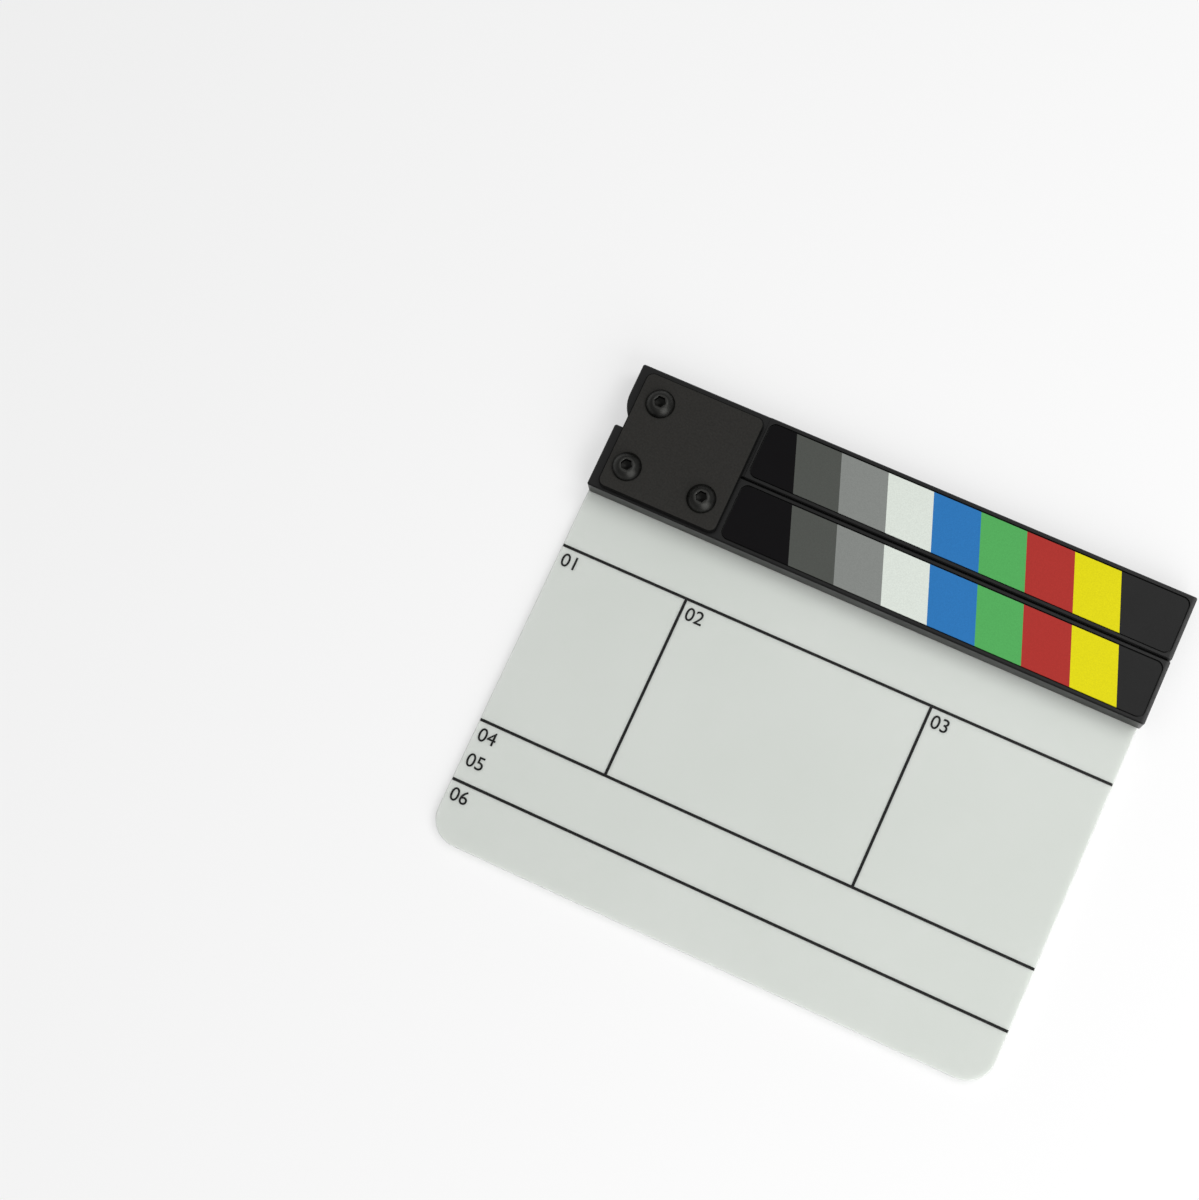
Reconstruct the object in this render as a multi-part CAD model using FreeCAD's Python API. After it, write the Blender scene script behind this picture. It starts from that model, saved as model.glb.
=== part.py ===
import FreeCAD, Part
import math
import os
from FreeCAD import Vector

# Clapperboard: a white acrylic slate under two clap sticks, hinged at their left end.
# Millimetres. The board lies on its back: +X runs along the sticks to their free end, +Y from the foot of the
# board to the sticks, +Z out of the written face. The origin is the middle of the footprint, on the back.

# Slate board
slate_width = 220.0
board_shown_height = 142.0
board_thickness = 3.0
board_corner_radius = 11.0
board_edge_break = 0.3

# Clap sticks, the lower one rebated at the back for the board
stick_height = 25.4
stick_thickness = 12.7
stick_gap = 0.3
stick_overhang = 1.0
stick_corner_radius = 0.8
stick_edge_break = 0.5
rebate_lip = 5.0
rebate_clearance = 0.1

# Colour strips, let into pockets in the sticks
strip_rim = 1.5
strip_hinge_rim = 0.7
strip_corner_radius = 3.0
strip_pocket_depth = 1.2
strip_thickness = 0.9
strip_clearance = 0.45

# Hinge plate over the left end of both sticks
plate_width = 47.8
plate_thickness = 2.5
plate_left_margin = 3.5
plate_top_margin = 2.5
plate_foot_margin = 1.1
plate_corner_radius = 3.0
plate_edge_break = 0.3
plate_sweep_clearance = 0.3

# Button head screws of the hinge, a quarter of an inch
screw_diameter = 6.35
screw_head_diameter = 11.1
screw_head_height = 3.35
screw_head_rim = 0.4
screw_crown_diameter = 5.6
screw_socket = 3.97
screw_socket_depth = 2.1
screw_drill_point = 0.6
screw_tip_gap = 1.0
screw_hole_clearance = 0.2
thread_clearance = 0.05
plate_screw_left_inset = 7.9
plate_screw_right_inset = 9.6
plate_screw_foot_inset = 10.3

# Pivot: sleeve nut, bush and thrust washers
sleeve_wall = 1.5
sleeve_flange_radius = 7.0
sleeve_flange_thickness = 1.5
sleeve_recess = 0.3
sleeve_socket_depth = 2.0
sleeve_thread_run_out = 0.5
bush_wall = 1.5
running_clearance = 0.05
press_clearance = 0.02
counterbore_clearance = 0.4
front_washer_thickness = 0.3
rear_washer_thickness = 0.5
pivot_end_play = 0.1

# Flanged inserts behind the plate screws
plate_insert_wall = 1.3
plate_insert_front_wall = 2.0
plate_insert_flange_radius = 5.5
plate_insert_flange_thickness = 1.2

# Countersunk screws and inserts that hold the board from behind
board_screw_count = 5
board_screw_last_inset = 12.0
board_screw_foot_inset = 10.0
board_screw_diameter = 4.0
board_screw_head_diameter = 7.5
board_screw_head_recess = 0.1
board_screw_clearance = 0.1
board_screw_socket = 2.5
board_screw_socket_depth = 1.4
board_screw_tip_gap = 0.9
board_insert_wall = 0.9
board_insert_front_wall = 1.8
board_insert_run_out = 0.4

# Closing magnets in the mating edges
magnet_diameter = 8.0
magnet_thickness = 3.0
magnet_recess = 0.1
magnet_end_inset = 14.0
magnet_edge_break = 0.2

# Places of the board and the sticks, whose free ends reach past the board
total_height = board_shown_height + 2 * stick_height + stick_gap
stick_length = slate_width + stick_overhang
left = -stick_length / 2
right = stick_length / 2
board_right = left + slate_width
foot = -total_height / 2
lower_foot = foot + board_shown_height
lower_top = lower_foot + stick_height
upper_foot = lower_top + stick_gap
upper_top = upper_foot + stick_height
rebate_top = lower_top - rebate_lip
board_top = rebate_top - rebate_clearance

# The pivot stands as far from the end of the upper stick as from its edges, so that its corner can turn
pivot_reach = stick_height / 2
pivot_x = left + pivot_reach
pivot_y = upper_foot + pivot_reach
hinge_floor = stick_thickness - front_washer_thickness - pivot_end_play

# The plate keeps still while the upper stick turns under it, so its far corner sweeps past its right edge
plate_left = left + plate_left_margin
plate_right = plate_left + plate_width
plate_foot = lower_foot + plate_foot_margin
plate_top = upper_top - plate_top_margin
plate_face = stick_thickness + plate_thickness
plate_corner_x = plate_right - plate_corner_radius
plate_corner_y = plate_top - plate_corner_radius
plate_sweep = math.hypot(plate_corner_x - pivot_x, plate_corner_y - pivot_y) + plate_corner_radius
relief_end = pivot_x + plate_sweep + plate_sweep_clearance

strip_left = relief_end + strip_hinge_rim
strip_right = right - strip_rim
strip_floor = stick_thickness - strip_pocket_depth

screw_radius = screw_diameter / 2
screw_hole_radius = screw_radius + screw_hole_clearance
thread_radius = screw_radius + thread_clearance
screw_tip = board_thickness + screw_tip_gap
plate_screw_y = plate_foot + plate_screw_foot_inset
plate_screw_xs = [plate_left + plate_screw_left_inset, plate_right - plate_screw_right_inset]

sleeve_radius = thread_radius + sleeve_wall
bush_bore_radius = sleeve_radius + running_clearance
bush_radius = bush_bore_radius + bush_wall
sleeve_flange_top = sleeve_recess + sleeve_flange_thickness
rear_washer_top = sleeve_flange_top + rear_washer_thickness
counterbore_floor = rear_washer_top + pivot_end_play

plate_insert_radius = thread_radius + plate_insert_wall
plate_insert_top = stick_thickness - plate_insert_front_wall
plate_insert_flange_top = board_thickness + plate_insert_flange_thickness

board_screw_radius = board_screw_diameter / 2
board_thread_radius = board_screw_radius + thread_clearance
board_insert_radius = board_thread_radius + board_insert_wall
board_bore_top = strip_floor - board_insert_front_wall
board_insert_top = board_bore_top - board_insert_run_out
board_screw_tip = board_insert_top - board_screw_tip_gap
board_screw_y = lower_foot + board_screw_foot_inset
board_screw_first = sum(plate_screw_xs) / len(plate_screw_xs)
board_screw_pitch = (board_right - board_screw_last_inset - board_screw_first) / (board_screw_count - 1)
board_screw_xs = [board_screw_first + number * board_screw_pitch for number in range(board_screw_count)]

magnet_x = right - magnet_end_inset
magnet_z = stick_thickness / 2
magnet_radius = magnet_diameter / 2

# How far a cutting form runs past the face that it cuts
overcut = 1.0

up = Vector(0, 0, 1)


def block(x0, x1, y0, y1, z0, z1):
    return Part.makeBox(x1 - x0, y1 - y0, z1 - z0, Vector(x0, y0, z0))


def cylinder(radius, z0, z1, x, y):
    return Part.makeCylinder(radius, z1 - z0, Vector(x, y, z0), up)


def ring(outer, inner, z0, z1, x, y):
    return cylinder(outer, z0, z1, x, y).cut(cylinder(inner, z0, z1, x, y))


def prism(edges, z0, z1):
    """Raises a closed outline, drawn at height zero, from z0 to z1."""
    face = Part.Face(Part.Wire(Part.__sortEdges__(edges)))
    solid = face.extrude(Vector(0, 0, z1 - z0))
    solid.translate(Vector(0, 0, z0))
    return solid


def rounded_outline(x0, x1, y0, y1, radii):
    """A rectangle whose corners, from the lower left and anticlockwise, have the given radii."""
    corners = [(x0, y0, 1, 1), (x1, y0, -1, 1), (x1, y1, -1, -1), (x0, y1, 1, -1)]
    starts = []
    ends = []
    edges = []
    for number, (x, y, inward_x, inward_y) in enumerate(corners):
        radius = radii[number]
        on_x = Vector(x + inward_x * radius, y, 0)
        on_y = Vector(x, y + inward_y * radius, 0)
        start, end = (on_y, on_x) if number % 2 == 0 else (on_x, on_y)
        starts.append(start)
        ends.append(end)
        if radius > 0:
            inset = radius * (1 - math.sqrt(0.5))
            middle = Vector(x + inward_x * inset, y + inward_y * inset, 0)
            edges.append(Part.Arc(start, middle, end).toShape())
    for number in range(4):
        edges.append(Part.makeLine(ends[number], starts[(number + 1) % 4]))
    return edges


def hexagon(across_flats, x, y):
    corner = across_flats / math.sqrt(3)
    angles = [math.radians(60 * number) for number in range(6)]
    points = [Vector(x + corner * math.cos(angle), y + corner * math.sin(angle), 0) for angle in angles]
    return [Part.makeLine(points[number - 1], points[number]) for number in range(6)]


def revolved(points, x, y):
    """Turns a closed profile of (radius, height) points about the upright axis through x, y."""
    corners = [Vector(x + radius, y, height) for radius, height in points]
    face = Part.Face(Part.makePolygon(corners + corners[:1]))
    return face.revolve(Vector(x, y, 0), up, 360)


def edge_broken(solid, size, heights):
    """Breaks the edges that lie flat at the given heights."""
    tolerance = 1e-6
    edges = [edge for edge in solid.Edges for height in heights
             if max(abs(edge.BoundBox.ZMin - height), abs(edge.BoundBox.ZMax - height)) < tolerance]
    return solid.makeChamfer(size, edges)


def strip_outline(stick_foot, gap):
    """The outline of a strip's pocket, or of the strip that lies in it with a gap all round."""
    radius = strip_corner_radius - gap
    return rounded_outline(strip_left + gap, strip_right - gap, stick_foot + strip_rim + gap,
                           stick_foot + stick_height - strip_rim - gap, [radius] * 4)


def strip_pocket(stick_foot):
    return prism(strip_outline(stick_foot, 0), strip_floor, stick_thickness + overcut)


def colour_strip(stick_foot):
    return prism(strip_outline(stick_foot, strip_clearance), strip_floor, strip_floor + strip_thickness)


def magnet_form(radius, mating_y, inward, start, end):
    """A cylinder square to a mating edge, between two depths below it."""
    return Part.makeCylinder(radius, end - start, Vector(magnet_x, mating_y + inward * start, magnet_z),
                             Vector(0, inward, 0))


def magnet_pocket(mating_y, inward):
    return magnet_form(magnet_radius + press_clearance, mating_y, inward, -overcut, magnet_recess + magnet_thickness)


def magnet(mating_y, inward):
    disc = magnet_form(magnet_radius, mating_y, inward, magnet_recess, magnet_recess + magnet_thickness)
    rims = [edge for edge in disc.Edges if edge.BoundBox.YLength < magnet_edge_break]
    return disc.makeChamfer(magnet_edge_break, rims)


def countersunk_form(x, gap):
    """A board screw without its socket, grown by a gap."""
    head = board_screw_head_diameter / 2 + gap
    shank = board_screw_radius + gap
    seat = board_screw_head_recess
    neck = seat + head - shank
    profile = [(0, seat), (head, seat), (shank, neck), (shank, board_screw_tip), (0, board_screw_tip)]
    return revolved(profile, x, board_screw_y)


def board_screw(x):
    socket_top = board_screw_head_recess + board_screw_socket_depth
    socket = prism(hexagon(board_screw_socket, x, board_screw_y), -overcut, socket_top)
    return countersunk_form(x, 0).cut(socket)


def board_insert(x):
    return ring(board_insert_radius, board_thread_radius, board_thickness, board_insert_top, x, board_screw_y)


def slate_board():
    radii = [board_corner_radius, board_corner_radius, 0, 0]
    board = prism(rounded_outline(left, board_right, foot, board_top, radii), 0, board_thickness)
    board = edge_broken(board, board_edge_break, [0, board_thickness])
    mouth_radius = board_screw_head_diameter / 2 + board_screw_clearance
    for x in board_screw_xs:
        board = board.cut(countersunk_form(x, board_screw_clearance))
        board = board.cut(cylinder(mouth_radius, -overcut, board_screw_head_recess, x, board_screw_y))
    return board


def plate_insert(x):
    """A threaded insert whose flange bears on the stick from behind, under the board."""
    profile = [(thread_radius, board_thickness), (plate_insert_flange_radius, board_thickness),
               (plate_insert_flange_radius, plate_insert_flange_top), (plate_insert_radius, plate_insert_flange_top),
               (plate_insert_radius, plate_insert_top), (thread_radius, plate_insert_top)]
    return revolved(profile, x, plate_screw_y)


def lower_stick():
    outline = rounded_outline(left, right, lower_foot, lower_top, [stick_corner_radius] * 4)
    bar = edge_broken(prism(outline, 0, stick_thickness), stick_edge_break, [0, stick_thickness])
    rebate = block(left - overcut, right + overcut, lower_foot - overcut, rebate_top, -overcut, board_thickness)
    bar = bar.cut([rebate, strip_pocket(lower_foot), magnet_pocket(lower_top, -1)])
    flange_radius = plate_insert_flange_radius + press_clearance
    body_radius = plate_insert_radius + press_clearance
    for x in plate_screw_xs:
        flange_seat = cylinder(flange_radius, 0, plate_insert_flange_top, x, plate_screw_y)
        insert_bore = cylinder(body_radius, 0, plate_insert_top, x, plate_screw_y)
        screw_hole = cylinder(screw_hole_radius, 0, stick_thickness + overcut, x, plate_screw_y)
        bar = bar.cut([flange_seat, insert_bore, screw_hole])
    for x in board_screw_xs:
        bar = bar.cut(cylinder(board_insert_radius + press_clearance, 0, board_bore_top, x, board_screw_y))
    return bar


def upper_bar(thickness, x0, x1):
    """The stretch of the upper stick between two places along it, its lower left corner round about the pivot."""
    radii = [pivot_reach, stick_corner_radius, stick_corner_radius, stick_corner_radius]
    bar = prism(rounded_outline(left, right, upper_foot, upper_top, radii), 0, thickness)
    bar = edge_broken(bar, stick_edge_break, [0, thickness])
    return bar.common(block(x0, x1, upper_foot, upper_top, 0, thickness))


def upper_stick():
    """A bar that is a little thinner under the hinge plate, to leave room for the front washer."""
    bar = upper_bar(hinge_floor, left, relief_end).fuse(upper_bar(stick_thickness, relief_end, right))
    bar = bar.removeSplitter()
    counterbore_radius = sleeve_flange_radius + counterbore_clearance
    counterbore = cylinder(counterbore_radius, -overcut, counterbore_floor, pivot_x, pivot_y)
    bush_bore = cylinder(bush_radius + press_clearance, 0, stick_thickness, pivot_x, pivot_y)
    return bar.cut([strip_pocket(upper_foot), magnet_pocket(upper_foot, 1), counterbore, bush_bore])


def hinge_plate():
    outline = rounded_outline(plate_left, plate_right, plate_foot, plate_top, [plate_corner_radius] * 4)
    plate = edge_broken(prism(outline, stick_thickness, plate_face), plate_edge_break, [plate_face])
    for x, y in [(pivot_x, pivot_y)] + [(x, plate_screw_y) for x in plate_screw_xs]:
        plate = plate.cut(cylinder(screw_hole_radius, 0, plate_face + overcut, x, y))
    return plate


def button_head_screw(x, y):
    """A screw with its head on the plate: a ball's cap above a low rim, with a hexagon socket."""
    rim_radius = screw_head_diameter / 2
    crown_radius = screw_crown_diameter / 2
    dome_height = screw_head_height - screw_head_rim
    centre = (crown_radius ** 2 + dome_height ** 2 - rim_radius ** 2) / (2 * dome_height)
    ball = math.hypot(rim_radius, centre)
    halfway = (math.atan2(-centre, rim_radius) + math.atan2(dome_height - centre, crown_radius)) / 2
    rim_top = plate_face + screw_head_rim
    crown_top = plate_face + screw_head_height
    rim = Vector(x + rim_radius, y, rim_top)
    middle = Vector(x + ball * math.cos(halfway), y, rim_top + centre + ball * math.sin(halfway))
    crown = Vector(x + crown_radius, y, crown_top)
    corners = [crown, Vector(x, y, crown_top), Vector(x, y, screw_tip), Vector(x + screw_radius, y, screw_tip),
               Vector(x + screw_radius, y, plate_face), Vector(x + rim_radius, y, plate_face), rim]
    edges = [Part.makeLine(corners[number], corners[number + 1]) for number in range(len(corners) - 1)]
    edges.append(Part.Arc(rim, middle, crown).toShape())
    screw = Part.Face(Part.Wire(edges)).revolve(Vector(x, y, 0), up, 360)
    socket_floor = crown_top - screw_socket_depth
    socket = prism(hexagon(screw_socket, x, y), socket_floor, crown_top + overcut)
    drill_point = revolved([(0, socket_floor - screw_drill_point), (screw_socket / 2, socket_floor),
                            (0, socket_floor)], x, y)
    return screw.cut([socket, drill_point])


def pivot_sleeve_nut():
    """The flanged sleeve that the upper stick turns on, threaded from the front, with a key socket at the back."""
    thread_foot = screw_tip - sleeve_thread_run_out
    flange = cylinder(sleeve_flange_radius, sleeve_recess, sleeve_flange_top, pivot_x, pivot_y)
    sleeve = cylinder(sleeve_radius, sleeve_recess, stick_thickness, pivot_x, pivot_y)
    thread = cylinder(thread_radius, thread_foot, stick_thickness, pivot_x, pivot_y)
    socket = prism(hexagon(screw_socket, pivot_x, pivot_y), sleeve_recess, sleeve_recess + sleeve_socket_depth)
    return sleeve.fuse(flange).removeSplitter().cut([thread, socket])


def pivot_bush():
    return ring(bush_radius, bush_bore_radius, counterbore_floor, hinge_floor, pivot_x, pivot_y)


def pivot_washer(z0, z1):
    return ring(sleeve_flange_radius, bush_bore_radius, z0, z1, pivot_x, pivot_y)


nodes = {
    "slate_board": [slate_board()],
    "lower_stick": [lower_stick()],
    "upper_stick": [upper_stick()],
    "upper_colour_strip": [colour_strip(upper_foot)],
    "lower_colour_strip": [colour_strip(lower_foot)],
    "hinge_plate": [hinge_plate()],
    "pivot_screw": [button_head_screw(pivot_x, pivot_y)],
    "plate_screws": [button_head_screw(x, plate_screw_y) for x in plate_screw_xs],
    "pivot_sleeve_nut": [pivot_sleeve_nut()],
    "pivot_bush": [pivot_bush()],
    "front_pivot_washer": [pivot_washer(hinge_floor + pivot_end_play, stick_thickness)],
    "rear_pivot_washer": [pivot_washer(sleeve_flange_top, rear_washer_top)],
    "plate_inserts": [plate_insert(x) for x in plate_screw_xs],
    "board_screws": [board_screw(x) for x in board_screw_xs],
    "board_inserts": [board_insert(x) for x in board_screw_xs],
    "upper_magnet": [magnet(upper_foot, 1)],
    "lower_magnet": [magnet(lower_top, -1)],
}

os.makedirs("parts", exist_ok=True)
for name, pieces in nodes.items():
    solids = [solid for piece in pieces for solid in piece.Solids]
    if len(solids) != len(pieces) or not all(solid.isValid() for solid in solids):
        raise ValueError(name + " has a piece that is not one valid solid")
    shape = solids[0] if len(solids) == 1 else Part.makeCompound(solids)
    shape.exportStep("parts/" + name + ".step")
    print(name, len(solids), "solids", round(shape.Volume, 1), "cubic mm")
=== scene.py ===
"""Looks of a small film clapperboard: the finish of each solid, the print on its board, and a plain stage."""
import math

import bmesh
import bpy
from bpy.props import FloatProperty, FloatVectorProperty, PointerProperty
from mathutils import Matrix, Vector


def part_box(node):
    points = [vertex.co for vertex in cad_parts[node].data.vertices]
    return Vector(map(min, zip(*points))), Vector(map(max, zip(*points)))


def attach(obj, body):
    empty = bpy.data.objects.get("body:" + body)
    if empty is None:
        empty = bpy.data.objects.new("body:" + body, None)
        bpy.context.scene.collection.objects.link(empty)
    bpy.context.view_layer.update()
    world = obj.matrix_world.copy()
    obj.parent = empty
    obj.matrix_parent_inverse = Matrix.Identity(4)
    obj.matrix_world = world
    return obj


bl_info = {
    "name": "Clapperboard looks",
    "version": (1, 0, 0),
    "blender": (4, 5, 0),
    "location": "3D View > Sidebar > Clapperboard",
    "description": "Finishes, printed rows and stage of a small film clapperboard",
    "category": "Object",
}

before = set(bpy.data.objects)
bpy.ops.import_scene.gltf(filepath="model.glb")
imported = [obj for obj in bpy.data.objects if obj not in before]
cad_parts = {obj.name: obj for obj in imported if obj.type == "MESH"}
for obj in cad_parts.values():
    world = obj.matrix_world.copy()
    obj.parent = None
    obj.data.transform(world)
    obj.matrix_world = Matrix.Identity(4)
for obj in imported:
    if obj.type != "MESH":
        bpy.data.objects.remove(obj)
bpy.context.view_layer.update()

MM = 0.001

# Noise lies mostly between these two values, which stand for none and all of it
NOISE_LOW = 0.3
NOISE_HIGH = 0.7

# Places of the two colours and of the result among a colour mixer's sockets
MIX_FIRST = 6
MIX_SECOND = 7
MIX_RESULT = 2

# In the font's own units: half the depth that it draws, points taken as one, and growth of the strokes' sides
FONT_HALF_DEPTH = 0.5
FONT_SAME_PLACE = 0.003
FONT_SWELL = 0.005
# A sharp corner of a numeral grows by at most this many times the swell
FONT_MITRE = 1.5

# Colour fields along each strip
FIELD_COUNT = 9


def millimetres(name, description, default):
    """A length setting whose default is given in millimetres."""
    return FloatProperty(name=name, description=description, default=default * MM, min=0.0, precision=5,
                         subtype="DISTANCE", unit="LENGTH")


def share(name, description, default):
    """A setting between none and all."""
    return FloatProperty(name=name, description=description, default=default, min=0.0, max=1.0,
                         subtype="FACTOR")


def power(name, description, default):
    """A lamp's power setting, in watts."""
    return FloatProperty(name=name, description=description, default=default, min=0.0, unit="POWER")


def position(name, description, default):
    """A setting for a place in the scene, in metres."""
    return FloatVectorProperty(name=name, description=description, default=default, size=3,
                               subtype="TRANSLATION", unit="LENGTH")


def colour(name, description, default):
    """A colour setting in linear values."""
    return FloatVectorProperty(name=name, description=description, default=default, min=0.0, max=1.0, size=3,
                               subtype="COLOR")


class PrintSettings(bpy.types.PropertyGroup):
    """The rows and numerals printed on the board"""

    line_width: millimetres("Line width", "Width of every printed line", 1.1)
    ink_thickness: millimetres("Ink thickness", "How far the ink stands on the board", 0.03)
    edge_margin: millimetres("Edge margin", "Bare edge of the board beyond the lines' ends", 0.3)
    top_row: millimetres("Top row", "Height of the upper line above the board's foot", 119.05)
    middle_row: millimetres("Middle row", "Height of the middle line above the board's foot", 46.55)
    low_row: millimetres("Low row", "Height of the lower line above the board's foot", 22.55)
    first_column: millimetres("First column", "First upright from the board's left edge", 50.95)
    second_column: millimetres("Second column", "Second upright from the board's left edge", 149.25)
    numeral_height: millimetres("Numeral height", "Height of the field numerals", 5.2)
    numeral_side_margin: millimetres("Numeral side margin", "Distance from the line or edge at its left", 2.0)
    numeral_top_margin: millimetres("Numeral top margin", "Distance below the line above it", 2.35)
    numeral_row_step: millimetres("Numeral row step", "Step between numerals that stand in one field", 10.2)
    ink_colour: colour("Ink", "Colour of the printed ink", (0.006, 0.006, 0.006))


class StripeSettings(bpy.types.PropertyGroup):
    """The slanted colour fields on the clap sticks"""

    lean: FloatProperty(name="Lean", description="Lean of the fields from the stick's upright",
                        default=math.radians(20.0), subtype="ANGLE", unit="ROTATION")
    field_1: colour("Field 1", "Field next to the hinge", (0.0040, 0.0036, 0.0042))
    field_2: colour("Field 2", "Dark grey field", (0.081, 0.086, 0.078))
    field_3: colour("Field 3", "Mid grey field", (0.235, 0.247, 0.235))
    field_4: colour("Field 4", "White field", (0.71, 0.76, 0.70))
    field_5: colour("Field 5", "Blue field", (0.027, 0.179, 0.475))
    field_6: colour("Field 6", "Green field", (0.088, 0.405, 0.106))
    field_7: colour("Field 7", "Red field", (0.412, 0.034, 0.028))
    field_8: colour("Field 8", "Yellow field", (0.735, 0.67, 0.007))
    # Painted sheen: this black field at the free end is a lighter grey than field 1, for light falling on
    # that end.
    field_9: colour("Field 9", "Field at the free end", (0.022, 0.022, 0.022))


class FinishSettings(bpy.types.PropertyGroup):
    """Colours of the board, the sticks and the metal"""

    board: colour("Board", "Translucent white acrylic", (0.690, 0.717, 0.683))
    board_clouded: colour("Board clouding", "Slightly darker clouds in the acrylic", (0.670, 0.700, 0.663))
    stick: colour("Sticks", "Black acetal", (0.0035, 0.0035, 0.0035))
    # Painted highlight: the paler acetal at the free ends stands in for light catching them.
    stick_end_highlight: colour("Highlit stick ends", "Acetal where the free ends are sawn", (0.057, 0.057, 0.057))
    plate: colour("Plate", "Matte black coat of the hinge plate", (0.0275, 0.0266, 0.0245))
    # Painted shade: the darker colour on the plate's bevels and sides.
    plate_edge_shade: colour("Plate edge", "Coat on the plate's bevels and sides", (0.005, 0.005, 0.005))
    screw: colour("Screws", "Black oxide on steel", (0.039, 0.039, 0.037))
    # Painted shade: the darker black oxide where the screws are closed in, as in the sockets.
    screw_socket_shade: colour("Screw sockets", "Black oxide deep in the sockets", (0.010, 0.010, 0.0095))
    # Paler screw edges: partly wear, partly a painted glint.
    screw_worn_glint: colour("Worn and glinting screws", "Black oxide where edges are rubbed", (0.35, 0.35, 0.33))
    screw_wear_and_glint: share("Wear and glint of the screws", "How far the edges of the screws are rubbed", 0.7)
    brass: colour("Brass", "Turned brass", (0.70, 0.50, 0.22))
    nylon: colour("Nylon", "Natural nylon", (0.72, 0.70, 0.64))
    nickel: colour("Nickel", "Nickel plate", (0.62, 0.60, 0.57))


class StageSettings(bpy.types.PropertyGroup):
    """Camera, floor and light"""

    lens: FloatProperty(name="Lens", description="Focal length", default=70.627, unit="CAMERA")
    camera_place: position("Camera place", "Where the camera stands", (0.03711, -0.13645, 0.85786))
    camera_turn: FloatVectorProperty(name="Camera turn", description="How the camera is turned", size=3,
                                     default=(0.212517, 0.062294, 0.433744), subtype="EULER", unit="ROTATION")
    floor: colour("Floor", "Pale floor", (0.95, 0.95, 0.95))
    floor_glow: share("Floor glow", "White that the floor shows by itself, whatever light falls on it", 0.50)
    floor_reach: millimetres("Floor reach", "How far the floor reaches from its middle", 30000.0)
    floor_drop: millimetres("Floor drop", "How far the floor lies below the board's back", 0.2)
    backdrop: colour("Backdrop", "Pale surroundings seen just above the floor's far end", (0.77, 0.77, 0.77))
    backdrop_top: share("Backdrop's top", "Height, as a sine, up to which the pale surroundings reach", 0.10)
    backdrop_fade: share("Backdrop's fade", "Height, as a sine, at which they are gone", 0.20)
    sky_horizon: share("Sky at the horizon", "Brightness of the surroundings near the floor", 0.08)
    sky_top: share("Sky overhead", "Brightness of the surroundings overhead", 0.90)
    sky_dark_end: share("Dark below", "Height, as a sine, up to which the sky stays dark", 0.30)
    sky_full_start: share("Bright above", "Height, as a sine, from which the sky is fully bright", 0.90)
    top_power: power("Top lamp", "Power of the soft lamp overhead", 3.0)
    top_size: millimetres("Top lamp's size", "Diameter of the soft lamp overhead", 600.0)
    top_place: position("Top lamp's place", "Where the soft lamp overhead hangs", (0.47, 0.45, 0.90))
    side_power: power("Side lamp", "Power of the soft lamp at the free end", 5.9)
    side_size: millimetres("Side lamp's size", "Diameter of the soft lamp at the free end", 1000.0)
    side_place: position("Side lamp's place", "Where the lamp at the free end hangs", (0.72, -0.50, 0.54))


class Nodes:
    """A tree of shader nodes in the making."""

    def __init__(self, tree):
        self.tree = tree

    def add(self, kind, inputs=None, **settings):
        """A new shader node, with its settings made and its inputs set or linked."""
        made = self.tree.nodes.new("ShaderNode" + kind)
        for name, value in settings.items():
            setattr(made, name, value)
        for name, value in (inputs or {}).items():
            self.feed(made.inputs[name], value)
        return made

    def feed(self, socket, value):
        """Sets a socket to a value, or links it to another node's output."""
        if isinstance(value, bpy.types.NodeSocket):
            self.tree.links.new(value, socket)
        elif isinstance(value, (tuple, list)) and socket.type == "RGBA":
            socket.default_value = (*value[:3], 1.0)
        else:
            socket.default_value = value

    def maths(self, operation, *values):
        """One step of arithmetic on numbers or on other nodes' outputs."""
        return self.add("Math", dict(enumerate(values)), operation=operation).outputs[0]

    def between(self, factor, low, high, start=0.0, end=1.0):
        """A number that goes from low to high as the factor goes from start to end."""
        made = self.add("MapRange", {"Value": factor, "From Min": start, "From Max": end,
                                     "To Min": low, "To Max": high})
        return made.outputs[0]

    def blend(self, factor, first, second):
        """A colour between two others."""
        made = self.add("Mix", {"Factor": factor, MIX_FIRST: first, MIX_SECOND: second}, data_type="RGBA")
        return made.outputs[MIX_RESULT]

    def scaled(self, tone, factor):
        """A colour made lighter or darker by a factor."""
        return self.add("VectorMath", {0: tone, "Scale": factor}, operation="SCALE").outputs[0]

    def seen(self):
        """A mask that is 1 where the surface is seen by eye, in a gloss or through glass."""
        path = self.add("LightPath").outputs
        mirrored = self.maths("MAXIMUM", path["Is Glossy Ray"], path["Is Transmission Ray"])
        return self.maths("MAXIMUM", path["Is Camera Ray"], mirrored)


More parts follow.
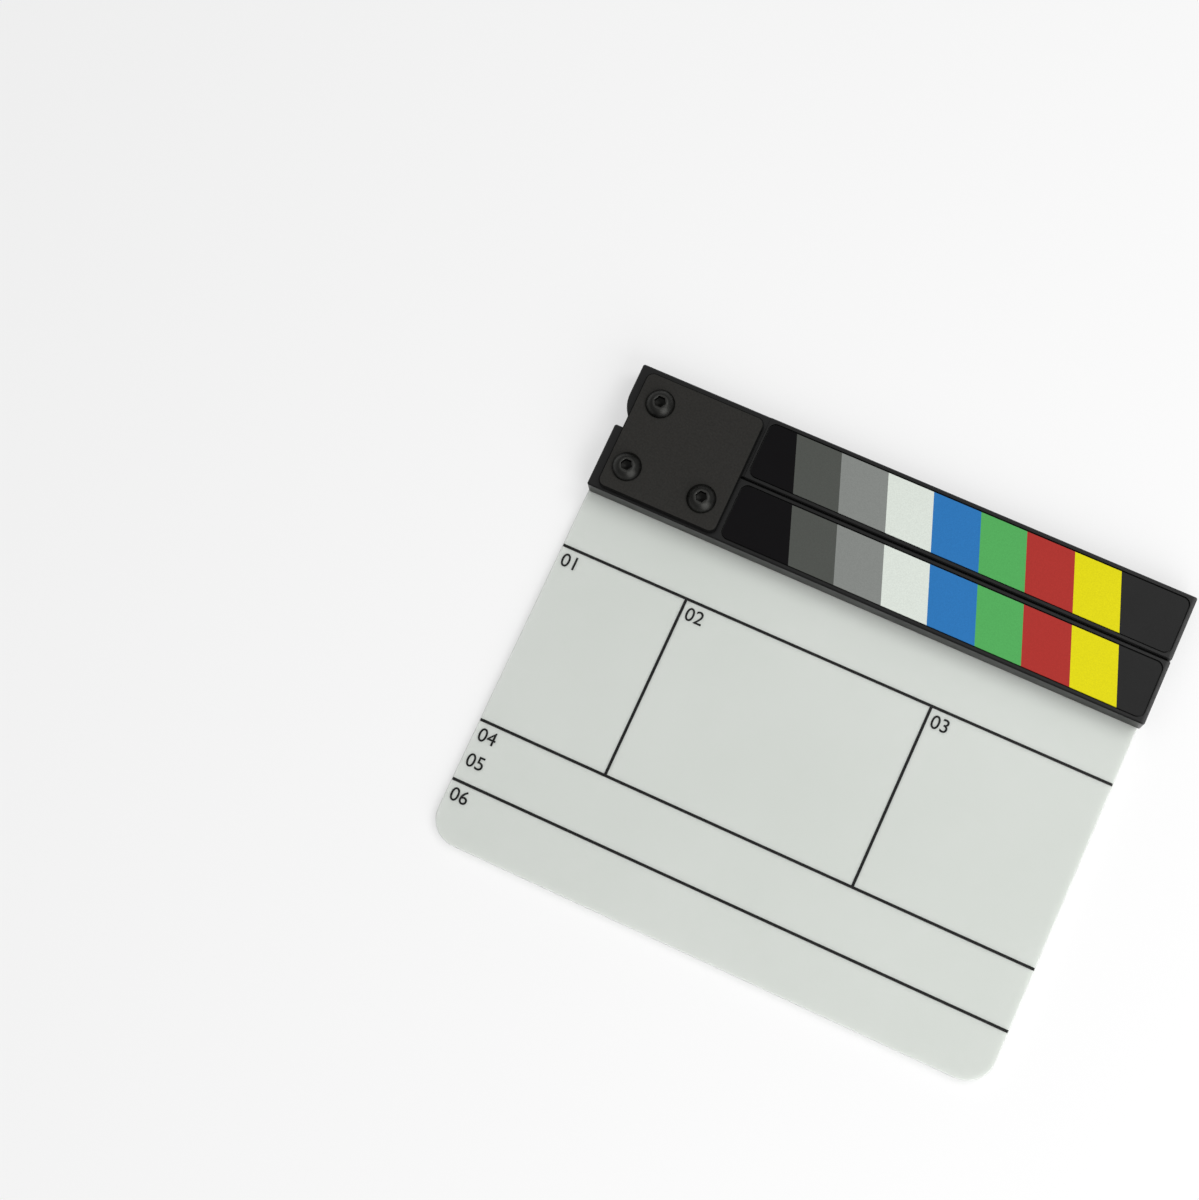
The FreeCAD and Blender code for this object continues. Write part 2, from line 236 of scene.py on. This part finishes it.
class Finish(Nodes):
    """A material in the making: its nodes, its shader and the object's own coordinates."""

    def __init__(self, name):
        self.material = bpy.data.materials.new(name)
        self.material.use_nodes = True
        super().__init__(self.material.node_tree)
        self.shader = self.tree.nodes["Principled BSDF"]
        self.coordinates = self.add("TexCoord").outputs
        self.place = self.coordinates["Object"]

    def surface(self, **inputs):
        """Sets the shader's inputs, named with underscores."""
        for name, value in inputs.items():
            self.feed(self.shader.inputs[name.replace("_", " ").title().replace("Ior", "IOR")], value)

    def grain(self, scale, detail=2.0, stretch=(1.0, 1.0, 1.0)):
        """Noise between 0 and 1, with its scale per metre."""
        spread = self.add("Mapping", {"Vector": self.place, "Scale": stretch})
        noise = self.add("TexNoise", {"Vector": spread.outputs[0], "Scale": scale, "Detail": detail})
        return noise.outputs["Fac"]

    def uneven(self, low, high, grain):
        """A number that wanders between low and high with the grain."""
        return self.between(grain, low, high, NOISE_LOW, NOISE_HIGH)

    def relief(self, height, depth, strength=1.0, normal=None):
        """A normal that follows a height between 0 and 1, for a relief of that depth."""
        made = self.add("Bump", {"Height": height, "Strength": strength, "Distance": depth})
        if normal is not None:
            self.feed(made.inputs["Normal"], normal)
        return made.outputs[0]

    def softened(self, radius):
        """A normal that runs round the edges within a radius."""
        return self.add("Bevel", {"Radius": radius}, samples=6).outputs[0]

    def edges(self, radius, full=0.80, none=0.985):
        """A mask that rises to 1 along edges, as the softened normal leans away from the surface's own."""
        sharp = self.add("NewGeometry").outputs["Normal"]
        lean = self.add("VectorMath", {0: self.softened(radius), 1: sharp}, operation="DOT_PRODUCT")
        return self.between(lean.outputs["Value"], 1.0, 0.0, full, none)

    def worn_glint_edges(self, radius):
        """The mask of the edges, broken up by noise."""
        broken = self.between(self.grain(320.0, detail=4.0), 0.0, 1.0, start=0.35, end=0.7)
        return self.maths("MULTIPLY", self.edges(radius), broken)


def toned(tone, factor):
    """A colour's values made lighter or darker by a factor."""
    return [part * factor for part in tone]


def board_acrylic(finishes):
    """Satin white acrylic that lets light in, faintly clouded and wiped."""
    finish = Finish("slate_white_acrylic")
    clouds = finish.between(finish.grain(14.0, detail=3.0), 0.0, 1.0, start=0.35, end=0.65)
    wiped = finish.grain(60.0, detail=4.0, stretch=(0.25, 1.6, 1.0))
    finish.surface(
        base_color=finish.blend(clouds, finishes.board[:], finishes.board_clouded[:]),
        roughness=finish.uneven(0.40, 0.54, wiped),
        specular_ior_level=0.2,
        ior=1.49,
        subsurface_weight=0.9,
        subsurface_radius=(1.0, 1.0, 1.0),
        subsurface_scale=3.0 * MM,
        normal=finish.relief(finish.grain(700.0), depth=0.01 * MM),
    )
    return finish.material


def stick_acetal(finishes):
    """Black acetal with the fine matte skin of a machined and blasted bar, made paler and patchy at its free
    end as a painted highlight.
    """
    finish = Finish("stick_black_acetal")
    # Painted highlight: over the last 1.7 mm of the free end the colour fades to the paler, patchy end
    # colour.
    free_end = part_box("upper_stick")[1].x
    highlight_start = free_end - 1.7 * MM
    highlight_full = free_end - 0.6 * MM
    along = finish.add("SeparateXYZ", {"Vector": finish.place}).outputs["X"]
    highlit = finish.between(along, 0.0, 1.0, highlight_start, highlight_full)
    patchy = finish.between(finish.grain(900.0, detail=4.0), 0.65, 1.0, start=0.35, end=0.65)
    pale = finish.maths("MULTIPLY", patchy, highlit)
    skin = finish.grain(3200.0, detail=3.0)
    finish.surface(
        base_color=finish.blend(pale, finishes.stick[:], finishes.stick_end_highlight[:]),
        roughness=finish.uneven(0.30, 0.40, finish.grain(90.0, detail=4.0)),
        specular_ior_level=0.25,
        normal=finish.relief(skin, depth=0.005 * MM, strength=0.6, normal=finish.softened(0.2 * MM)),
    )
    return finish.material


def plate_coat(finishes):
    """Matte black coat on the metal hinge plate, darker on its bevels and sides as painted shade."""
    finish = Finish("hinge_plate_black_coat")
    bevel = 0.3 * MM
    speckle = finish.uneven(0.85, 1.15, finish.grain(1500.0, detail=3.0))
    coat = finish.scaled(finishes.plate[:], speckle)
    # Painted shade: faces that lean from up or down, and the narrow bevels, take the darker edge colour.
    facing = finish.add("SeparateXYZ", {"Vector": finish.coordinates["Normal"]}).outputs["Z"]
    sides = finish.between(finish.maths("ABSOLUTE", facing), 1.0, 0.0, start=0.75, end=0.98)
    edge = finish.maths("MAXIMUM", sides, finish.edges(bevel, full=0.97, none=0.995))
    smooth = finish.uneven(0.46, 0.58, finish.grain(70.0, detail=4.0))
    edge_rough = finish.maths("MULTIPLY", edge, 0.9)
    texture = finish.grain(2600.0, detail=3.0)
    finish.surface(
        base_color=finish.blend(edge, coat, finishes.plate_edge_shade[:]),
        roughness=finish.maths("MAXIMUM", smooth, edge_rough),
        specular_ior_level=0.05,
        normal=finish.relief(texture, depth=0.03 * MM, strength=0.7, normal=finish.softened(bevel)),
    )
    return finish.material


def strip_print(stripes):
    """Slanted colour fields printed on a matte film, in step on both sticks."""
    low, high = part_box("lower_colour_strip")[0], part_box("upper_colour_strip")[1]
    finish = Finish("strip_printed_film")
    split = finish.add("SeparateXYZ", {"Vector": finish.place}).outputs
    across = finish.maths("SUBTRACT", split["Y"], (low.y + high.y) / 2)
    leaned = finish.maths("MULTIPLY_ADD", across, math.tan(stripes.lean), split["X"])
    along = finish.between(leaned, 0.0, 1.0, low.x, high.x)
    fields = [getattr(stripes, f"field_{number}") for number in range(1, FIELD_COUNT + 1)]
    ramp = finish.add("ValToRGB", {"Fac": along})
    ramp.color_ramp.interpolation = "CONSTANT"
    stops = ramp.color_ramp.elements
    while len(stops) < FIELD_COUNT:
        stops.new(len(stops) / FIELD_COUNT)
    for number, field in enumerate(fields):
        stops[number].position = number / FIELD_COUNT
        stops[number].color = (*field, 1.0)
    print_grain = finish.uneven(0.93, 1.05, finish.grain(2200.0))
    finish.surface(
        base_color=finish.scaled(ramp.outputs["Color"], print_grain),
        roughness=finish.uneven(0.50, 0.60, finish.grain(120.0, detail=3.0)),
        specular_ior_level=0.06,
        normal=finish.relief(finish.grain(1800.0), depth=0.01 * MM, strength=0.6),
    )
    return finish.material


def black_oxide(finishes):
    """Satin black oxide on steel, with painted shade in the sockets, and edges made paler, partly as wear and
    partly as a painted glint.
    """
    finish = Finish("screw_black_oxide")
    shade_reach = 4.0 * MM
    # Paler edges: partly wear of the black oxide, partly a painted glint on the rims of the socket and crown.
    worn_and_glinting = finish.maths("MULTIPLY", finish.worn_glint_edges(0.3 * MM), finishes.screw_wear_and_glint)
    steel = finish.blend(worn_and_glinting, finishes.screw[:], finishes.screw_worn_glint[:])
    # Painted shade: where the head is closed in within 4 mm, as in the socket, its colour darkens.
    air = finish.add("AmbientOcclusion", {"Distance": shade_reach}, samples=8).outputs["AO"]
    unshaded = finish.between(air, 0.0, 1.0, start=0.50, end=0.95)
    skin = finish.grain(4000.0)
    finish.surface(
        base_color=finish.blend(unshaded, finishes.screw_socket_shade[:], steel),
        metallic=1.0,
        roughness=finish.uneven(0.34, 0.46, finish.grain(500.0, detail=3.0)),
        normal=finish.relief(skin, depth=0.01 * MM, strength=0.5, normal=finish.softened(0.5 * MM)),
    )
    return finish.material


def plain_metal(name, tone, smoothest, roughest):
    """Bare metal with fine turning marks."""
    finish = Finish(name)
    turned = finish.grain(600.0, detail=3.0, stretch=(1.0, 1.0, 6.0))
    finish.surface(
        base_color=finish.blend(finish.grain(260.0, detail=3.0), tone[:], toned(tone, 0.82)),
        metallic=1.0,
        roughness=finish.uneven(smoothest, roughest, turned),
    )
    return finish.material


def washer_nylon(finishes):
    """Natural nylon of the thrust washers."""
    finish = Finish("washer_natural_nylon")
    finish.surface(
        base_color=finish.blend(finish.grain(300.0), finishes.nylon[:], toned(finishes.nylon, 0.9)),
        roughness=finish.uneven(0.40, 0.52, finish.grain(900.0)),
        subsurface_weight=0.2,
        subsurface_radius=(1.0, 1.0, 1.0),
        subsurface_scale=1.0 * MM,
    )
    return finish.material


def print_ink(prints):
    """Black screen ink with a faintly uneven film."""
    finish = Finish("board_black_ink")
    worn = finish.between(finish.grain(900.0, detail=3.0), 0.0, 1.0, start=0.45, end=0.8)
    finish.surface(
        base_color=finish.blend(worn, prints.ink_colour[:], toned(prints.ink_colour, 2.5)),
        roughness=finish.uneven(0.42, 0.55, finish.grain(400.0, detail=3.0)),
        specular_ior_level=0.2,
    )
    return finish.material


def dress(names, material):
    """Puts one material in every slot of the named solids."""
    for name in names:
        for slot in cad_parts[name].material_slots:
            slot.material = material


def new_object(name, form, material):
    """An object in the scene, made from a finished form, which is used up."""
    mesh = bpy.data.meshes.new(name)
    form.to_mesh(mesh)
    form.free()
    mesh.materials.append(material)
    made = bpy.data.objects.new(name, mesh)
    bpy.context.scene.collection.objects.link(made)
    return made


def new_print(name, form, ink, body):
    """A piece of print that rides on a body of the frame."""
    piece = new_object(name, form, ink)
    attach(piece, body)


class CLAPPERBOARD_OT_board(bpy.types.Operator):
    """Gives the board its satin white acrylic"""

    bl_idname = "clapperboard.board"
    bl_label = "Board"

    def execute(self, context):
        dress(["slate_board"], board_acrylic(context.scene.clapperboard_finishes))
        return {"FINISHED"}


class CLAPPERBOARD_OT_sticks(bpy.types.Operator):
    """Gives both clap sticks their black acetal"""

    bl_idname = "clapperboard.sticks"
    bl_label = "Clap sticks"

    def execute(self, context):
        dress(["lower_stick", "upper_stick"], stick_acetal(context.scene.clapperboard_finishes))
        return {"FINISHED"}


class CLAPPERBOARD_OT_colour_strips(bpy.types.Operator):
    """Prints the slanted colour fields on both strips"""

    bl_idname = "clapperboard.colour_strips"
    bl_label = "Colour strips"

    def execute(self, context):
        dress(["lower_colour_strip", "upper_colour_strip"], strip_print(context.scene.clapperboard_stripes))
        return {"FINISHED"}


class CLAPPERBOARD_OT_hinge_plate(bpy.types.Operator):
    """Gives the hinge plate its matte black coat"""

    bl_idname = "clapperboard.hinge_plate"
    bl_label = "Hinge plate"

    def execute(self, context):
        dress(["hinge_plate"], plate_coat(context.scene.clapperboard_finishes))
        return {"FINISHED"}


class CLAPPERBOARD_OT_screws(bpy.types.Operator):
    """Gives the screws and the sleeve nut their black oxide"""

    bl_idname = "clapperboard.screws"
    bl_label = "Screws"

    def execute(self, context):
        names = ["pivot_screw", "plate_screws", "board_screws", "pivot_sleeve_nut"]
        dress(names, black_oxide(context.scene.clapperboard_finishes))
        return {"FINISHED"}


class CLAPPERBOARD_OT_inner_pieces(bpy.types.Operator):
    """Finishes the bush, the inserts, the washers and the magnets"""

    bl_idname = "clapperboard.inner_pieces"
    bl_label = "Inner pieces"

    def execute(self, context):
        finishes = context.scene.clapperboard_finishes
        brass = plain_metal("insert_brass", finishes.brass, smoothest=0.24, roughest=0.38)
        dress(["pivot_bush", "plate_inserts", "board_inserts"], brass)
        dress(["front_pivot_washer", "rear_pivot_washer"], washer_nylon(finishes))
        nickel = plain_metal("magnet_nickel", finishes.nickel, smoothest=0.12, roughest=0.24)
        dress(["upper_magnet", "lower_magnet"], nickel)
        return {"FINISHED"}


class CLAPPERBOARD_OT_lines(bpy.types.Operator):
    """Prints the rows and uprights on the board as one thin film of ink"""

    bl_idname = "clapperboard.lines"
    bl_label = "Printed lines"

    def execute(self, context):
        prints = context.scene.clapperboard_prints
        low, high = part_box("slate_board")
        half = prints.line_width / 2
        rows = [low.y + height for height in (prints.low_row, prints.middle_row, prints.top_row)]
        middle_row = rows[1]
        uprights = [low.x + column for column in (prints.first_column, prints.second_column)]
        xs = [low.x + prints.edge_margin, high.x - prints.edge_margin]
        xs = sorted(xs + [x + side for x in uprights for side in (-half, half)])
        ys = sorted(y + side for y in rows for side in (-half, half))
        form = bmesh.new()
        corner = {}
        for x in xs:
            for y in ys:
                corner[x, y] = form.verts.new((x, y, high.z))
        for left, right in zip(xs, xs[1:]):
            for foot, top in zip(ys, ys[1:]):
                on_row = any(abs((foot + top) / 2 - y) < half for y in rows)
                on_upright = any(abs((left + right) / 2 - x) < half for x in uprights) and foot > middle_row
                if on_row or on_upright:
                    places = [(left, foot), (right, foot), (right, top), (left, top)]
                    form.faces.new([corner[place] for place in places])
        bmesh.ops.delete(form, geom=[vert for vert in form.verts if not vert.link_faces], context="VERTS")
        raised = bmesh.ops.extrude_face_region(form, geom=form.faces[:])
        top_verts = [item for item in raised["geom"] if isinstance(item, bmesh.types.BMVert)]
        bmesh.ops.translate(form, verts=top_verts, vec=(0.0, 0.0, prints.ink_thickness))
        bmesh.ops.recalc_face_normals(form, faces=form.faces[:])
        new_print("printed_lines", form, print_ink(prints), "slate")
        return {"FINISHED"}


class CLAPPERBOARD_OT_numerals(bpy.types.Operator):
    """Prints a plain numeral in the corner of each field of the board"""

    bl_idname = "clapperboard.numerals"
    bl_label = "Field numerals"

    def execute(self, context):
        prints = context.scene.clapperboard_prints
        low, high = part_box("slate_board")
        columns = [low.x, low.x + prints.first_column, low.x + prints.second_column]
        top, middle, foot = (low.y + height for height in (prints.top_row, prints.middle_row, prints.low_row))
        corners = [(x, top) for x in columns]
        corners += [(low.x, middle), (low.x, middle - prints.numeral_row_step), (low.x, foot)]
        ink = print_ink(prints)
        for number, (x, y) in enumerate(corners, start=1):
            form = self.drawn_by_font(context, f"{number:02d}")
            left = min(vert.co.x for vert in form.verts)
            crown = max(vert.co.y for vert in form.verts)
            scale = prints.numeral_height / (crown - min(vert.co.y for vert in form.verts))
            start = Vector((x + prints.numeral_side_margin, y - prints.numeral_top_margin, high.z))
            for vert in form.verts:
                flat = Vector(((vert.co.x - left) * scale, (vert.co.y - crown) * scale, 0.0))
                raised = prints.ink_thickness if vert.co.z > 0.0 else 0.0
                vert.co = start + flat + Vector((0.0, 0.0, raised))
            new_print(f"field_numeral_{number}", form, ink, "slate")
        return {"FINISHED"}

    def drawn_by_font(self, context, body):
        """A numeral in the font's units, thick along Z, with its strokes swollen to the print's weight."""
        shape = bpy.data.curves.new("numeral", "FONT")
        shape.body = body
        shape.extrude = FONT_HALF_DEPTH
        text = bpy.data.objects.new("numeral", shape)
        context.scene.collection.objects.link(text)
        drawn = bpy.data.meshes.new_from_object(text.evaluated_get(context.evaluated_depsgraph_get()))
        bpy.data.objects.remove(text)
        form = bmesh.new()
        form.from_mesh(drawn)
        bpy.data.meshes.remove(drawn)
        bmesh.ops.remove_doubles(form, verts=form.verts[:], dist=FONT_SAME_PLACE)
        form.normal_update()
        caps = [face for face in form.faces if len({vert.co.z for vert in face.verts}) == 1]
        inner = [edge for edge in form.edges if all(face in caps for face in edge.link_faces)]
        moves = [self.outward(vert) for vert in form.verts]
        for vert, move in zip(form.verts, moves):
            vert.co += move
        bmesh.ops.beautify_fill(form, faces=caps, edges=inner)
        for face in form.faces:
            face.smooth = False
        return form

    def outward(self, vert):
        """How far a point of the outline moves, square to the two walls that meet there."""
        level = [edge for edge in vert.link_edges if edge.other_vert(vert).co.z == vert.co.z]
        one, other = (face.normal for edge in level for face in edge.link_faces
                      if any(corner.co.z != vert.co.z for corner in face.verts))
        move = (one + other) * FONT_SWELL / (1.0 + one.dot(other))
        move.length = min(move.length, FONT_MITRE * FONT_SWELL)
        return move


class CLAPPERBOARD_OT_stage(bpy.types.Operator):
    """Sets up the floor, the soft light and the camera"""

    bl_idname = "clapperboard.stage"
    bl_label = "Stage"

    def execute(self, context):
        scene = context.scene
        settings = scene.clapperboard_stage
        scene.view_settings.view_transform = "Standard"
        self.make_floor(settings)
        self.make_sky(scene, settings)
        self.make_lamp(scene, "top_softbox", settings.top_power, settings.top_place, settings.top_size)
        self.make_lamp(scene, "side_softbox", settings.side_power, settings.side_place, settings.side_size)
        lens = bpy.data.cameras.new("photo_camera")
        lens.lens = settings.lens
        camera = bpy.data.objects.new("photo_camera", lens)
        camera.location = settings.camera_place
        camera.rotation_euler = settings.camera_turn
        scene.collection.objects.link(camera)
        scene.camera = camera
        return {"FINISHED"}

    def make_floor(self, settings):
        """A wide pale floor that takes shadows and stays near white."""
        finish = Finish("floor_pale")
        seen = finish.seen()
        shaded = [part - settings.floor_glow for part in settings.floor]
        finish.surface(
            base_color=finish.blend(seen, settings.floor[:], shaded),
            emission_color=(1.0, 1.0, 1.0),
            emission_strength=finish.maths("MULTIPLY", seen, settings.floor_glow),
            roughness=0.9,
            specular_ior_level=0.0,
        )
        form = bmesh.new()
        bmesh.ops.create_grid(form, x_segments=1, y_segments=1, size=settings.floor_reach)
        floor = new_object("floor", form, finish.material)
        floor.location.z = -settings.floor_drop

    def make_sky(self, scene, settings):
        """Surroundings that light from overhead, with a pale band above the floor where they are seen."""
        sky = bpy.data.worlds.new("studio_surroundings")
        scene.world = sky
        sky.use_nodes = True
        nodes = Nodes(sky.node_tree)
        direction = nodes.add("TexCoord").outputs["Generated"]
        height = nodes.add("SeparateXYZ", {"Vector": direction}).outputs["Z"]
        light = nodes.between(height, settings.sky_horizon, settings.sky_top,
                              settings.sky_dark_end, settings.sky_full_start)
        low_down = nodes.between(height, 1.0, 0.0, settings.backdrop_top, settings.backdrop_fade)
        shown = nodes.maths("MULTIPLY", nodes.seen(), low_down)
        background = sky.node_tree.nodes["Background"]
        nodes.feed(background.inputs["Color"], nodes.blend(shown, light, settings.backdrop[:]))

    def make_lamp(self, scene, name, watts, place, size):
        """A round soft lamp that points at the part's origin."""
        light = bpy.data.lights.new(name, "AREA")
        light.shape = "DISK"
        light.size = size
        light.energy = watts
        lamp = bpy.data.objects.new(name, light)
        lamp.location = place
        lamp.rotation_euler = (-Vector(place)).to_track_quat("-Z", "Y").to_euler()
        scene.collection.objects.link(lamp)


SETTINGS = {
    "clapperboard_prints": PrintSettings,
    "clapperboard_stripes": StripeSettings,
    "clapperboard_finishes": FinishSettings,
    "clapperboard_stage": StageSettings,
}
STEPS = [
    CLAPPERBOARD_OT_board,
    CLAPPERBOARD_OT_sticks,
    CLAPPERBOARD_OT_colour_strips,
    CLAPPERBOARD_OT_hinge_plate,
    CLAPPERBOARD_OT_screws,
    CLAPPERBOARD_OT_inner_pieces,
    CLAPPERBOARD_OT_lines,
    CLAPPERBOARD_OT_numerals,
    CLAPPERBOARD_OT_stage,
]


class CLAPPERBOARD_PT_looks(bpy.types.Panel):
    """Lists the settings and the steps of the looks"""

    bl_label = "Clapperboard"
    bl_space_type = "VIEW_3D"
    bl_region_type = "UI"
    bl_category = "Clapperboard"

    def draw(self, context):
        for name, kind in SETTINGS.items():
            box = self.layout.box()
            box.label(text=kind.__doc__)
            for setting in kind.__annotations__:
                box.prop(getattr(context.scene, name), setting)
        for step in STEPS:
            self.layout.operator(step.bl_idname)


def register():
    for kind in [*SETTINGS.values(), *STEPS, CLAPPERBOARD_PT_looks]:
        bpy.utils.register_class(kind)
    for name, kind in SETTINGS.items():
        setattr(bpy.types.Scene, name, PointerProperty(type=kind))


def unregister():
    for name in SETTINGS:
        delattr(bpy.types.Scene, name)
    for kind in [CLAPPERBOARD_PT_looks, *reversed(STEPS), *reversed(SETTINGS.values())]:
        bpy.utils.unregister_class(kind)


def main():
    register()
    bpy.ops.clapperboard.board()
    bpy.ops.clapperboard.sticks()
    bpy.ops.clapperboard.colour_strips()
    bpy.ops.clapperboard.hinge_plate()
    bpy.ops.clapperboard.screws()
    bpy.ops.clapperboard.inner_pieces()
    bpy.ops.clapperboard.lines()
    bpy.ops.clapperboard.numerals()
    bpy.ops.clapperboard.stage()


if __name__ == "__main__":
    main()
